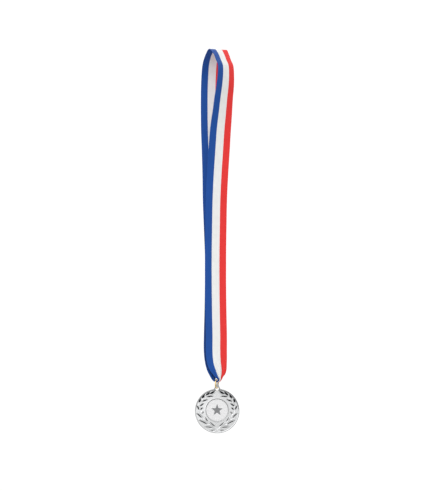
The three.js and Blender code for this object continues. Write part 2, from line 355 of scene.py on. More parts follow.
LAP_STATIONS = (31, 34)  # the stretch of the back strand that the lap lies in
LAP_TOP_Z = -303.0
LAP_BOTTOM_Z = -315.0
LAP_SPACING = 0.42  # between the middles of the two lapped layers
LAP_RUN_OUT = 9.0  # over which the outer layer comes down beside the inner one

STRIPES = (0.322, 0.682)  # shares of the width where blue ends and where red begins

SECTIONS_PER_MM = 0.75
MORE_AT_GATHERS = 1.9
MORE_AT_TOP = 0.9

DRAWN_HALF_WIDTHS = (11.9, 9.5)  # where folds begin, and where they are full
FOLD_INSET = 0.14  # left of the half depth, on each face, for the cloth's own thickness
COCKLE = 0.16  # height of the slow waves in the open cloth
EDGE_WAVE = 0.10  # height of the shorter ones along its edges
CALM_NEAR_LAP = (14, 40)  # distances from the lap where the waves begin, and where they are full
SELVEDGE_ROUND = 0.016  # share of the half width that the selvedge's rounding takes
SELVEDGE_THREAD = 0.968  # where its thicker edge thread runs, as a share of the half width
SELVEDGE_EXTRA = 0.14  # share of the thickness that the thread adds

RIB_TURN = 11.4  # radians to the millimetre along the cloth: 1.8 ribs
THREAD_TURN = 21.0  # radians to the millimetre across it: 3.3 threads


def route_at(stations):
    """The route's values and their rates at places counted in stations, as smooth curves."""
    whole = np.floor(stations).astype(int)
    t = (stations - whole)[:, None]
    before, start, end, after = (ROUTE[(whole + k) % len(ROUTE)] for k in (-1, 0, 1, 2))
    linear = end - before
    square = 2 * before - 5 * start + 4 * end - after
    cube = 3 * start - before - 3 * end + after
    values = (2 * start + linear * t + square * t**2 + cube * t**3) / 2
    rates = (linear + 2 * square * t + 3 * cube * t**2) / 2
    return values, rates


def lap_station(z):
    """The station where the back strand reaches a height within the lap's stretch."""
    places = np.linspace(*LAP_STATIONS, 2000)
    heights = route_at(places)[0][:, 2]
    return float(np.interp(z, heights, places))


def ribbon_stations(start, end):
    """Stations of the ribbon's sections, and how far along the cloth each one is.

    The sections are closer together where the cloth is gathered and where it bends over the top.
    """
    fine = np.linspace(start, end, 20000)
    values, _ = route_at(fine)
    steps = np.linalg.norm(np.diff(values[:, :3], axis=0), axis=1)
    travelled = np.concatenate([[0], np.cumsum(steps)])
    heights = values[:, 2]
    gathered = smooth(-heights, 335, 350)
    over_top = smooth(heights, -30, -5)
    closeness = SECTIONS_PER_MM + MORE_AT_GATHERS * gathered + MORE_AT_TOP * over_top
    demand = np.concatenate([[0], np.cumsum(closeness[1:] * steps)])
    wanted = np.linspace(0, demand[-1], int(demand[-1]) + 1)
    return np.interp(wanted, demand, fine), np.interp(wanted, demand, travelled)


def across_shares():
    """Shares of the half width from one selvedge to the other, closest at the selvedges."""
    inner = np.linspace(-0.955, 0.955, 46)
    edge = np.array([0.972, 0.984, 0.993, 0.998])
    return np.concatenate([[-1], -edge[::-1], inner, edge, [1]])


def section_axes(stations, values, rates):
    """Each section's directions: across the cloth, and out of it away from the loop's inside."""
    travel = unit(rates[:, :3])
    turn = np.radians(values[:, TURN])
    tilt = np.radians(values[:, TILT])
    level = np.cos(tilt)
    width = np.stack([np.cos(turn) * level, np.sin(turn) * level, np.sin(tilt)], axis=1)
    sheared = sum(band(stations % len(ROUTE), rise, fall) for rise, fall in SHEARED)
    width -= travel * ((width * travel).sum(axis=1) * (1 - sheared))[:, None]
    width = unit(width)
    return width, unit(np.cross(travel, width))


def lap_rise(outward, travelled, lap_length):
    """How far each section is moved, so that the first end lies over the second at the lap."""
    raised = 1 - smooth(travelled, lap_length + 1, lap_length + LAP_RUN_OUT)
    side = np.where(outward[:, 1] > 0, 1, -1)
    return outward * (side * raised * LAP_SPACING)[:, None]


def crowded(shares, crowding):
    """Where the shares of the cloth's width come to lie, and how evenly they are spread there."""
    from_red = (1 - shares) / 2
    return 1 - 2 * from_red**crowding, crowding * from_red ** (crowding - 1)


def gathered_folds(half_width, half_depth, shares, evenness):
    """Folds that take up cloth drawn narrower than its own width."""
    closeness = evenness * half_width / FLAT[0]
    spare = np.sqrt(np.clip(1 - closeness**2, 0, 1))
    room = np.clip(half_depth - FOLD_INSET, 0, None)
    drawn = smooth(half_width, *DRAWN_HALF_WIDTHS)
    depth = np.minimum(spare * RIBBON_WIDTH / GATHERS / 2, room) * drawn
    depth = depth * smooth(evenness, 0.1, 0.7)  # cloth that is packed flat has no folds
    towards_edges = np.sqrt(1 - 0.92 * shares**2)
    return depth * towards_edges * np.cos(GATHERS * math.pi * (shares + 1) / 2)


def slack_waves(half_width, shares, travelled, lap_length):
    """Slow cockling and waves in the edges, which keep the open cloth from lying dead flat."""
    along = travelled[:, None]
    cockle = COCKLE * np.sin(along / 31 + 1.3 * shares) * np.sin(along / 17 + 2.1)
    edge_wave = EDGE_WAVE * shares**2 * np.sin(along / 9.5 + 1.9 * np.sign(shares))
    away_from_lap = smooth(np.abs(along - lap_length), *CALM_NEAR_LAP)
    return smooth(half_width, 9, 12) * away_from_lap * (cockle + edge_wave)


def half_thickness(half_width, shares):
    """Half the cloth's thickness, thinned in tight gathers, with full and rounded selvedges."""
    room = 2 * half_width / (GATHERS * 1.25)
    thickness = np.minimum(RIBBON_THICKNESS, 0.8 * room)
    from_middle = np.abs(shares)
    past_flat = np.clip(from_middle - (1 - SELVEDGE_ROUND), 0, 1) / SELVEDGE_ROUND
    rounding = np.sqrt(np.clip(1 - past_flat**2, 0, 1))
    thread = np.exp(-(((from_middle - SELVEDGE_THREAD) / 0.012) ** 2))
    return thickness / 2 * rounding * (1 + SELVEDGE_EXTRA * thread)


def make_ribbon(material):
    """One tape sewn into a loop: gives its piece and the tape's length in millimetres."""
    bottom, top = lap_station(LAP_BOTTOM_Z), lap_station(LAP_TOP_Z)
    stations, travelled = ribbon_stations(bottom, top + len(ROUTE))
    lap_length = np.interp(top, stations, travelled)
    values, rates = route_at(stations)
    width, outward = section_axes(stations, values, rates)
    centre = values[:, :3] + lap_rise(outward, travelled, lap_length)

    shares = across_shares()
    half_width = values[:, [HALF_WIDTH]]
    spread, evenness = crowded(shares, np.maximum(values[:, [CROWDING]], 1))
    fold = gathered_folds(half_width, values[:, [HALF_DEPTH]], shares, evenness)
    fold = fold + slack_waves(half_width, shares, travelled, lap_length)
    half = half_thickness(half_width, shares)

    flat = centre[:, None, :] + width[:, None, :] * (half_width * spread)[:, :, None]
    upper = flat + outward[:, None, :] * (fold + half)[:, :, None]
    lower = flat + outward[:, None, :] * (fold - half)[:, :, None]
    loop = np.concatenate([upper, lower[:, -2:0:-1]], axis=1)
    faces = capped_tube_faces(*loop.shape[:2])
    ribbon = new_piece("neck_ribbon", loop.reshape(-1, 3), faces, material, "ribbon_weave", 55)
    lay_cloth_map(ribbon.data, shares, travelled)
    # Painted contact shadow on the inside of the back strand, kept for the material to darken the
    # cloth.
    painted_shadow = painted_shadow_shares(loop, stations % len(ROUTE), len(shares))
    store_values(ribbon.data, "painted_shadow", painted_shadow.ravel())
    return ribbon, travelled[-1]


def lay_cloth_map(mesh, shares, travelled):
    """Maps the cloth's own coordinates: millimetres from the blue selvedge, and along it."""
    across = (np.concatenate([shares, shares[-2:0:-1]]) + 1) * RIBBON_WIDTH / 2
    places = np.empty((len(travelled), len(across), 2))
    places[:, :, 0] = across
    places[:, :, 1] = travelled[:, None]
    corners = np.empty(len(mesh.loops), dtype=int)
    mesh.loops.foreach_get("vertex_index", corners)
    layer = mesh.uv_layers.new(name="cloth")
    layer.data.foreach_set("uv", places.reshape(-1, 2)[corners].ravel())


def painted_shadow_shares(loop, local, outer_columns):
    """Painted shadow on the inside of the back strand, by how closely the front strand's edge lies
    over it.

    The painted shadow is deepest where the back strand comes out from behind the front one's blue
    edge, and most of all by the ring. The back strand's outer face has none.
    """
    front = (local > 9) & (local < 23.5)  # the front strand's stations below the top's bend
    edge = loop[front, 0]
    edge = edge[np.argsort(edge[:, 2])]
    beside = loop[:, :, 0] - np.interp(loop[:, :, 2], edge[:, 2], edge[:, 0])
    on_back = band(local, (26, 26.5), (35, 37))[:, None]
    by_ring = smooth(-loop[:, :, 2], 364, 371)
    painted_shadow = band(beside, (-2.6, -0.2), (3, 7)) * on_back * (0.65 + 0.25 * by_ring)
    painted_shadow[:, :outer_columns] = 0
    return painted_shadow


def ribbon_material():
    """Woven polyester in three lengthwise stripes, ribbed across."""
    material, tree, shader = new_material(
        "ribbon_weave",
        roughness=0.62,
        sheen_weight=0.25,
        sheen_roughness=0.4,
        specular_ior_level=0.2,
    )
    place = add_node(tree, "UVMap", uv_map="cloth")
    across, along, _ = axis_parts(tree, place)

    # Ribs across the cloth, with finer lengthwise threads floating over them.
    wander = maths(tree, "MULTIPLY", noise(tree, place, scale=0.7), 0.5)
    ribs = maths(tree, "SINE", maths(tree, "MULTIPLY_ADD", along, RIB_TURN, wander))
    threads = maths(tree, "SINE", maths(tree, "MULTIPLY_ADD", across, THREAD_TURN, wander))
    crossed = maths(tree, "MULTIPLY", ribs, threads)
    weave = maths(tree, "MULTIPLY_ADD", crossed, 0.35, maths(tree, "MULTIPLY", ribs, 0.65))

    ragged = maths(tree, "MULTIPLY_ADD", crossed, 0.05, across)
    blue_end, red_start = (share * RIBBON_WIDTH for share in STRIPES)
    past_blue = smooth_step(tree, ragged, blue_end - 0.05, blue_end + 0.05)
    in_red = smooth_step(tree, ragged, red_start - 0.05, red_start + 0.05)
    colour = mix_colour(tree, past_blue, srgb(25, 77, 157), srgb(237, 237, 236))
    colour = mix_colour(tree, in_red, colour, srgb(232, 55, 54))

    patches = noise(tree, place, scale=0.16, detail=3)
    drawn_out = add_node(tree, "Mapping", {0: place, "Scale": (3, 0.12, 1)})
    streaks = noise(tree, drawn_out, scale=1.0)
    tone = ranged(tree, patches, 0.91, 1.01)
    tone = maths(tree, "MULTIPLY_ADD", streaks, 0.08, tone)
    tone = maths(tree, "MULTIPLY_ADD", weave, 0.045, tone)
    painted_shadow = attribute(tree, "painted_shadow")
    # Painted shadow: darkens the back strand's inside where the front strand's edge lies over it.
    tone = maths(tree, "MULTIPLY", tone, maths(tree, "SUBTRACT", 1.0, painted_shadow))
    colour = tinted(tree, colour, tone)

    fuzz = noise(tree, place, scale=6.0, roughness=0.7)
    height = maths(tree, "MULTIPLY_ADD", fuzz, 0.25, weave)
    roughness = maths(tree, "MULTIPLY_ADD", weave, -0.06, 0.64)
    normal = bump(tree, height, 0.00005, 0.8)
    connect(tree, shader, base_color=colour, roughness=roughness, normal=normal)
    return material


# ---- stitching ----------------------------------------------------------------------------

STITCH_RUNS = 16
STITCH_HALF_HEIGHT = 3.0
STITCH_INSET = 2.8  # from the selvedges
STITCH_STEPS = 14  # points of the thread's line for each stitch
THREAD_RADIUS = 0.16
THREAD_SUNK = 0.1  # how far the thread's middle dives into the cloth between stitches
THREAD_LIFT = 0.2  # how far it comes out again


def make_stitching(material):
    """A zigzag lockstitch through both lapped layers, seen on both faces of the cloth."""
    middle_z = (LAP_TOP_Z + LAP_BOTTOM_Z) / 2
    values, _ = route_at(np.array([lap_station(middle_z)]))
    middle_x, middle_y = values[0, :2]
    reach = values[0, HALF_WIDTH] - STITCH_INSET
    outer = middle_y + LAP_SPACING + RIBBON_THICKNESS / 2
    inner = middle_y - RIBBON_THICKNESS / 2
    vertices = []
    faces = []
    for face_y, way in ((outer, 1), (inner, -1)):
        line = stitch_line(middle_x, middle_z, reach, face_y, way)
        tube, tube_faces = tube_along(line, THREAD_RADIUS, 8)
        faces += [tuple(i + len(vertices) for i in face) for face in tube_faces]
        vertices += tube.tolist()
    return new_piece("lap_stitching", vertices, faces, material, "seam_thread", 60)


def stitch_line(middle_x, middle_z, reach, face_y, way):
    """The thread's line on one face: each stitch lies on the cloth and dives at its ends."""
    line = []
    for run in range(STITCH_RUNS):
        x0 = middle_x + reach * (2 * run / STITCH_RUNS - 1)
        x1 = middle_x + reach * (2 * (run + 1) / STITCH_RUNS - 1)
        z0 = middle_z + STITCH_HALF_HEIGHT * (-1 if run % 2 == 0 else 1)
        z1 = 2 * middle_z - z0
        for step in range(STITCH_STEPS + (run == STITCH_RUNS - 1)):
            share = step / STITCH_STEPS
            out = THREAD_LIFT * min(1, math.sin(math.pi * share) * 2.2) - THREAD_SUNK
            line.append((x0 + (x1 - x0) * share, face_y + way * out, z0 + (z1 - z0) * share))
    return np.array(line)


def tube_along(line, radius, sides):
    """A round tube along a line of points, capped at its ends."""
    travel = unit(np.gradient(line, axis=0))
    across = unit(np.cross(travel, (0, 1, 0)))
    up = np.cross(across, travel)
    angles = circle_angles(sides)
    ring = across[:, None] * np.cos(angles)[:, None] + up[:, None] * np.sin(angles)[:, None]
    points = (line[:, None] + radius * ring).reshape(-1, 3)
    return points, capped_tube_faces(len(line), sides)


def thread_material():
    """Twisted white sewing thread."""
    material, tree, shader = new_material("seam_thread", roughness=0.6, sheen_weight=0.3)
    point = object_point(tree)
    x, _, z = axis_parts(tree, point)
    slant = maths(tree, "MULTIPLY_ADD", x, 2.5, z)
    ply = maths(tree, "SINE", maths(tree, "MULTIPLY", slant, 14000.0))
    fuzz = noise(tree, point, scale=5000.0)
    tone = maths(tree, "MULTIPLY_ADD", ply, 0.06, ranged(tree, fuzz, 0.86, 0.96))
    colour = tinted(tree, srgb(243, 243, 240), tone)
    normal = bump(tree, maths(tree, "ADD", ply, fuzz), 0.00003)
    connect(tree, shader, base_color=colour, normal=normal)
    return material


# ---- medal --------------------------------------------------------------------------------

FIELD_Y = -0.6  # the ground at the rim
FIELD_CROWN = 0.55  # how much the ground would rise from the rim to the middle
RIM_INNER = 23.95
RECESS_RADIUS = INSERT_RADIUS + 0.25  # with room round the insert
RECESS_FLOOR_Y = 0.3
BEAD_OUTER = 13.9
BEAD_FOOT_Y = -1.2
BEAD_Y = -1.4  # its crest
FIELD_ROWS = 78
MEDAL_SECTORS = 720

# The hollows that frame the leaves of one branch, from its foot to its end: the angle from the
# top of the face and the radius where each one starts and where it ends, and its half width.
OUTER_HOLLOWS = (
    (172, 22.6, 160, 23.5, 0.4),
    (165, 19.8, 141, 23.2, 0.6),
    (143, 18.9, 116, 23.6, 0.78),
    (114, 19.2, 96, 23.6, 0.78),
    (86, 20.7, 75, 23.7, 0.85),
    (65, 22.6, 52, 23.5, 0.95),
    (51, 22.5, 36, 23.3, 1.05),
    (36, 21.9, 20, 23.2, 1.1),
    (24, 21.2, 5, 23.2, 1.1),
)
INNER_HOLLOWS = (
    (174, 17.6, 144, 14.4, 0.65),
    (139, 15.6, 116, 15, 0.55),
    (101, 16.8, 92, 14.8, 0.58),
    (86, 18.8, 76, 16.1, 0.75),
    (75, 20, 59, 16.8, 0.8),
    (58, 19.9, 38, 16.3, 0.75),
    (37, 19.8, 13, 16.9, 0.75),
)
HOLLOW_DEPTH = 0.14
LEAF_HALF_WIDTHS = (1.45, 0.85)  # by the foot and by the end of a branch
LEAF_RISE = 0.28  # of its edge above the ground
LEAF_DOME = 0.22  # of its middle above its edge
MIDRIB_DEPTH = 0.1
MIDRIB_HALF_WIDTH = 0.15
VEIN_DEPTH = 0.035
VEIN_PITCH = 1.25
TWIG_ANGLES = (20, 60, 100, 171)
TWIG_RADII = (20.4, 21.2, 19.6, 18.7)
TWIG_SPLAY = 0.26  # outwards for each degree past the last angle, where the two twigs cross
TWIG_HALF_WIDTHS = (0.30, 0.46)  # by the end and by the foot of a branch
TWIG_HEIGHT = 0.42


def on_face(degrees, radius):
    """A point of the face, as x and z, from its angle from the top and its radius."""
    angle = math.radians(degrees)
    return np.array([radius * math.sin(angle), radius * math.cos(angle)])


def leaf_place(x, z, start, end, bow):
    """Each point's share of the way along a leaf, its distance from the midrib, and the length."""
    along = end - start
    length = math.hypot(*along)
    share = ((x - start[0]) * along[0] + (z - start[1]) * along[1]) / length**2
    beside = ((x - start[0]) * along[1] - (z - start[1]) * along[0]) / length
    inside = np.clip(share, 0, 1)
    return share, beside - bow * length * inside * (1 - inside) * 4, length


def leaf_outline(share):
    """A leaf's width along its length, as a share of its widest, a little before its middle."""
    inside = np.clip(share, 0, 1)
    return np.where(share == inside, np.sin(math.pi * inside**0.82) ** 0.8, 0)


def leaf_relief(x, z, start, end, half_width, bow):
    """One laurel leaf's height above the ground, and how far each point lies in its veins."""
    share, beside, length = leaf_place(x, z, start, end, bow)
    full = leaf_outline(share)
    within = np.clip(1 - np.abs(beside) / (half_width * full + 1e-6), 0, 1)
    blade = LEAF_RISE * smooth(within, 0, 0.2) + LEAF_DOME * np.sqrt(within) * full
    midrib = np.exp(-((beside / MIDRIB_HALF_WIDTH) ** 2)) * smooth(full, 0.1, 0.5)
    slant = np.cos(2 * math.pi * (share * length / VEIN_PITCH - np.abs(beside) * 0.75))
    veins = slant**4 * (slant > 0) * smooth(within, 0.05, 0.3) * smooth(np.abs(beside), 0.1, 0.3)
    height = blade - MIDRIB_DEPTH * midrib - VEIN_DEPTH * veins
    return np.where(within > 0, height, 0), np.maximum(midrib, 0.45 * veins) * (within > 0)


def twig_relief(x, z, side):
    """The height of one branch's twig, which runs past the other's at the foot."""
    degrees = np.degrees(np.arctan2(side * x, z)) % 360
    radius = np.hypot(x, z)
    present = band(degrees, (20, 30), (188, 193))
    past_last = np.clip(degrees - TWIG_ANGLES[-1], 0, 40)
    middle = np.interp(degrees, TWIG_ANGLES, TWIG_RADII) + TWIG_SPLAY * past_last
    half = np.interp(smooth(degrees, 60, 185), (0, 1), TWIG_HALF_WIDTHS)
    profile = np.sqrt(np.clip(1 - ((radius - middle) / half) ** 2, 0, 1))
    knots = 1 + 0.12 * np.cos(degrees / 7)
    return present * profile * knots * TWIG_HEIGHT


def wreath_hollows():
    """Each hollow's start, end, half width and bow, and which way its leaf lies from it."""
    hollows = []
    for side in (-1, 1):
        for table, inwards in ((OUTER_HOLLOWS, 1), (INNER_HOLLOWS, -1)):
            for start_angle, start_radius, end_angle, end_radius, half_width in table:
                start = on_face(side * start_angle, start_radius)
                end = on_face(side * end_angle, end_radius)
                hollows.append((start, end, half_width, -0.04 * side * inwards, inwards))
    return hollows


def wreath_leaves():
    """Each leaf's start, end, half width and bow: it lies beside its hollow, by the twig."""
    leaves = []
    for start, end, hollow_half, bow, inwards in wreath_hollows():
        half_width = np.interp(end[1], (-20, 18), LEAF_HALF_WIDTHS)
        way = (end - start) / math.hypot(*(end - start))
        aside = np.array([way[1], -way[0]])
        aside *= -inwards * math.copysign(1, aside @ start)
        shift = aside * (half_width + hollow_half * 0.55)
        leaves.append((start + shift - way * 0.9, end + shift * 0.9, half_width, bow))
    return leaves


def wreath_relief(x, z):
    """The wreath's height above the ground, and how far each point lies in hollows and veins."""
    height = np.maximum(twig_relief(x, z, -1), twig_relief(x, z, 1))
    vein = np.zeros_like(x)
    for leaf in wreath_leaves():
        rise, leaf_vein = leaf_relief(x, z, *leaf)
        vein = np.where(rise > height, leaf_vein, vein)
        height = np.maximum(height, rise)
    hollow = np.zeros_like(x)
    for start, end, half_width, bow, _ in wreath_hollows():
        share, beside, _ = leaf_place(x, z, start, end, bow)
        within = 1 - np.abs(beside) / (half_width * leaf_outline(share) + 1e-6)
        hollow = np.maximum(hollow, smooth(within, -0.06, 0.2))
    return height * (1 - hollow) - HOLLOW_DEPTH * hollow, hollow, vein


def ground_level(radius):
    """The Y of the open ground, which is slightly domed."""
    return FIELD_Y - FIELD_CROWN * (1 - (radius / RIM_INNER) ** 2)


def field_surface(x, z):
    """How far out the struck ground and wreath stand, as a Y at each point."""
    radius = np.hypot(x, z)
    from_bead = np.hypot(x, z - RECESS_RISE)
    near_bead = smooth(from_bead, BEAD_OUTER - 0.05, BEAD_OUTER + 0.35)
    near_rim = 1 - smooth(radius, RIM_INNER - 0.5, RIM_INNER - 0.15)
    return ground_level(radius) - wreath_relief(x, z)[0] * near_bead * near_rim


def medal_rows():
    """Each ring of points from the middle of the front round to the middle of the back.

    A row is its radius, how much it is centred on the recess instead of the medal, and its Y,
    or None where the struck field gives it.
    """
    rows = [(r, 1, RECESS_FLOOR_Y) for r in (0.4, 4, 8, 11, 12.4)]
    rows += [(RECESS_RADIUS, 1, y) for y in (RECESS_FLOOR_Y - 0.02, -0.3, -0.9, BEAD_FOOT_Y)]
    half = (BEAD_OUTER - RECESS_RADIUS) / 2
    for angle in np.radians([0, 30, 60, 90, 120, 150]):
        level = BEAD_FOOT_Y + (BEAD_Y - BEAD_FOOT_Y) * math.sin(angle)
        rows.append((RECESS_RADIUS + half - half * math.cos(angle), 1, level))
    for share in np.linspace(0, 1, FIELD_ROWS):
        rows.append((BEAD_OUTER + (RIM_INNER - 0.1 - BEAD_OUTER) * share, 1 - share, None))
    # The rim slopes up to a flat top, and its outer edge is rounded off front and back.
    rim = ((23.98, -0.95), (24.04, -1.3), (24.12, -1.44), (24.25, -1.5), (24.5, -1.5))
    edge = ((24.72, -1.47), (24.9, -1.36), (24.98, -1.2), (25, -1.05), (25, 0), (25, 1.05))
    back = ((24.98, 1.2), (24.9, 1.36), (24.72, 1.46), (24.5, 1.5), (20, 1.5), (10, 1.5), (0.4, 1.5))
    rows += [(r, 0, y) for r, y in rim + edge + back]
    return rows


def make_medal_disc(material):
    """The struck disc with its lug and hole, as one body."""
    angles = circle_angles(MEDAL_SECTORS)
    points = []
    rows = medal_rows()
    for radius, recessed, level in rows:
        x = radius * np.sin(angles)
        z = radius * np.cos(angles) + RECESS_RISE * recessed
        y = field_surface(x, z) if level is None else np.full(MEDAL_SECTORS, float(level))
        points.append(np.stack([x, y, z + MEDAL_CENTRE_Z], axis=1))
    faces = capped_tube_faces(len(rows), MEDAL_SECTORS)
    disc = new_piece("struck_medal", np.concatenate(points), faces, material, "medal_silver", 50)
    tab = new_piece("lug_tool", *rounded_plate(lug_outline()), material, "medal_silver")
    collar = new_piece("collar_tool", *rounded_plate(collar_outline()), material, "medal_silver")
    bore = new_piece("bore_tool", *bore_shape(), material, "medal_silver")
    combine(disc, tab, "UNION")
    combine(disc, collar, "UNION")
    combine(disc, bore, "DIFFERENCE")
    finish_mesh(disc, 42)
    mark_painted_shade(disc.data)
    return disc


LUG_HALF_THICKNESS = 0.9
LUG_HALF_BASE = 4.4  # half its width where it leaves the rim
LUG_TIP_RADIUS = 1.1
LUG_ROUNDING = 0.5
COLLAR_RADIUS = 3.1
HOLE_RADIUS = 1.9
HOLE_DROP = 0.7  # from the middle of the wire, where the ring is lowest, to the hole's middle
HOLE_CENTRE_Z = RING_CENTRE[2] - RING_RADIUS - HOLE_DROP


def lug_side():
    """The curve of the lug's right side, as x and z from the medal's centre."""
    foot = (LUG_HALF_BASE, MEDAL_RADIUS - 1)
    bend = (2.6, foot[1] + 2.8)
    tip = (LUG_TIP_RADIUS, LUG_TOP_Z - MEDAL_CENTRE_Z - LUG_TIP_RADIUS)
    t = np.linspace(0, 1, 13)[:, None]
    return (1 - t) ** 2 * foot + 2 * t * (1 - t) * bend + t * t * tip


def lug_outline():
    """The lug's outline above the rim, as x and z from the medal's centre."""
    right = lug_side().tolist()
    tip_z = right[-1][1]
    for angle in np.radians([18, 36, 54, 72]):
        x = LUG_TIP_RADIUS * math.cos(angle)
        right.append((x, tip_z + LUG_TIP_RADIUS * math.sin(angle)))
    left = [(-x, z) for x, z in reversed(right)]
    return np.array([*right, (0, tip_z + LUG_TIP_RADIUS), *left])


def collar_outline():
    """The raised metal round the hole, as x and z from the medal's centre."""
    angles = circle_angles(72)
    middle = HOLE_CENTRE_Z - MEDAL_CENTRE_Z
    return np.stack([COLLAR_RADIUS * np.cos(angles), middle + COLLAR_RADIUS * np.sin(angles)], 1)


def rounded_plate(outline):
    """A plate as layers of its outline, drawn in towards its two faces to round its edges."""
    ahead = np.roll(outline, -1, axis=0) - np.roll(outline, 1, axis=0)
    inward = np.stack([-ahead[:, 1], ahead[:, 0]], axis=1)
    inward = unit(inward)
    flat_half = LUG_HALF_THICKNESS - LUG_ROUNDING
    layers = []
    for angle in np.radians([-90, -65, -40, -15, 15, 40, 65, 90]):
        drawn = outline + inward * LUG_ROUNDING * (1 - math.cos(angle))
        y = flat_half * np.sign(angle) + LUG_ROUNDING * math.sin(angle)
        level = np.full(len(drawn), y)
        layers.append(np.stack([drawn[:, 0], level, drawn[:, 1] + MEDAL_CENTRE_Z], axis=1))
    return np.concatenate(layers), capped_tube_faces(len(layers), len(outline))


def bore_shape():
    """A cutter that flares at both faces, so that the hole it leaves has rounded edges."""
    angles = circle_angles(64)
    profile = [(-2.5, 2.9), (-0.95, 2.12), (-0.8, 1.99), (-0.55, HOLE_RADIUS)]
    profile += [(-y, radius) for y, radius in reversed(profile)]
    layers = []
    for y, radius in profile:
        x = radius * np.cos(angles)
        z = radius * np.sin(angles) + HOLE_CENTRE_Z
        layers.append(np.stack([x, np.full_like(x, y), z], axis=1))
    return np.concatenate(layers), capped_tube_faces(len(layers), len(angles))


def combine(piece, tool, operation):
    """Adds a tool to a piece or cuts it away, and removes the tool."""
    modifier = piece.modifiers.new("combine", "BOOLEAN")
    modifier.object = tool
    modifier.operation = operation
    modifier.solver = "MANIFOLD"
    graph = bpy.context.evaluated_depsgraph_get()
    shape = bpy.data.meshes.new_from_object(piece.evaluated_get(graph))
    piece.modifiers.clear()
    piece.data = shape
    bpy.data.objects.remove(tool)


# Tones of painted shade on the medal, from 0 on open metal to 1 for the darkest.
VEIN_TONE = 0.42
LEAF_FOOT_TONE = 0.42
HOLLOW_TONES = (0.86, 0.14)  # painted shade everywhere, and more painted shade added in the upper half
RIM_WALL_TONE = 0.85
EDGE_TONES = (0.42, 0.3, 0.34)  # painted shade everywhere, and more added in the upper half and on the right
BEAD_WALL_TONES = (0.45, 0.35)  # painted shade everywhere, and more added above the bottom
LUG_TONES = (0.12, 0.5)  # painted shade everywhere, and more added along the sides


def field_tones(x, z, upper):
    """Painted shade in the hollows, down the leaves' veins and round the leaves' feet, deeper in the
    upper half.
    """
    relief, hollow, vein = wreath_relief(x, z)
    leaf_foot = LEAF_FOOT_TONE * band(relief, (0.01, 0.06), (0.12, 0.24))
    common, added = HOLLOW_TONES
    return np.maximum(hollow * (common + added * upper), np.maximum(leaf_foot, VEIN_TONE * vein))


def rim_wall_tones(radius, z, upper):
    """Painted shade on the rim's inner wall, which faces down above the middle, and widest near the
    top.
    """
    foot = 23.6 - 0.35 * smooth(z, 8, 13)
    return RIM_WALL_TONE * upper * band(radius, (foot, foot + 0.25), (24.0, 24.1))


def edge_tones(x, y, radius, upper):
    """Painted shade round the outer edge, over the front of the rim but not over the back, deeper in
    the upper half and on the right.
    """
    start = np.where(y < 0, 24.25, 24.72)
    common, above, right = EDGE_TONES
    tone = common + above * upper + right * smooth(x, 0, 18)
    return tone * smooth(radius, start, start + 0.4) * (radius < MEDAL_RADIUS + 0.05)


def bead_wall_tones(z, from_bead):
    """Painted shade on the bead's inner wall, fading towards the bottom."""
    common, added = BEAD_WALL_TONES
    tone = common + added * smooth(z, -11, 2)
    return tone * (from_bead > 12.6) * (1 - smooth(from_bead, 12.95, 13.3))


def lug_tones(x, z, radius):
    """Painted shade on the lug, darker along its sides."""
    side = lug_side()
    half = np.interp(z, side[:, 1], side[:, 0])
    common, added = LUG_TONES
    tone = common + added * smooth(np.abs(x), half - 1.0, half - 0.2)
    return tone * (radius > MEDAL_RADIUS + 0.05)


def mark_painted_shade(mesh):
    """Stores the painted shade of each point of the medal."""
    x, y, z = points_of(mesh).T
    z = z - MEDAL_CENTRE_Z
    radius = np.hypot(x, z)
    from_bead = np.hypot(x, z - RECESS_RISE)
    upper = smooth(z, -8, 8)
    in_front = y < -0.2
    on_field = (radius < 24.05) & (from_bead > BEAD_OUTER - 0.2) & in_front
    tones = [
        field_tones(x, z, upper) * on_field,
        rim_wall_tones(radius, z, upper) * in_front,
        edge_tones(x, y, radius, upper),
        bead_wall_tones(z, from_bead) * in_front,
        lug_tones(x, z, radius),
    ]
    store_values(mesh, "painted_shade", np.max(tones, axis=0))


def silver_material():
    """Bright plating over a struck relief, with painted shade darkening the recesses and edges,
    finely worn.
    """
    material, tree, shader = new_material("medal_silver", metallic=1.0, ior=1.6)
    point = object_point(tree)
    painted_shade = attribute(tree, "painted_shade")
    grain = noise(tree, point, scale=2600.0, detail=3, roughness=0.6)
    clouds = noise(tree, point, scale=160.0, detail=3)
    brushed = add_node(tree, "Mapping", {0: point, "Rotation": (0, 0.5, 0), "Scale": (1, 1, 14)})
    scratches = noise(tree, brushed, scale=700.0, roughness=0.7)
    # Painted shade: the stored tone mixes the plating towards near black.
    uneven = maths(tree, "MULTIPLY", painted_shade, ranged(tree, clouds, 0.85, 1.15))
    deep = maths(tree, "MINIMUM", uneven, 1.0)
    colour = mix_colour(tree, deep, srgb(238, 239, 240), srgb(30, 32, 36))
    colour = tinted(tree, colour, ranged(tree, clouds, 0.96, 1.04))
    roughness = maths(tree, "MULTIPLY_ADD", painted_shade, 0.10, ranged(tree, grain, 0.15, 0.25))
    height = maths(tree, "MULTIPLY_ADD", scratches, 0.4, grain)
    normal = bump(tree, height, 0.000012, 0.6)
    connect(tree, shader, base_color=colour, roughness=roughness, normal=normal)
    return material


# ---- centre insert ------------------------------------------------------------------------

INSERT_BACK_Y = PAD_FRONT_Y
INSERT_FRONT_Y = INSERT_BACK_Y - INSERT_THICKNESS
INSERT_SECTORS = 240
STAR_REACH = 7.0  # from its middle to its points
STAR_NOTCH = 2.9  # and to the corners between them
STAR_DEPTH = 0.15


def star_depth(x, z):
    """How far inside the star's outline each point lies, in millimetres."""
    angle = np.arctan2(x, z)
    sector = 2 * math.pi / 5
    folded = np.abs((angle + sector / 2) % sector - sector / 2)
    radius = np.hypot(x, z)
    px, pz = radius * np.sin(folded), radius * np.cos(folded)
    tip = np.array([0.0, STAR_REACH])
    notch = STAR_NOTCH * np.array([math.sin(sector / 2), math.cos(sector / 2)])
    edge = (notch - tip) / np.linalg.norm(notch - tip)
    return (px - tip[0]) * edge[1] - (pz - tip[1]) * edge[0]


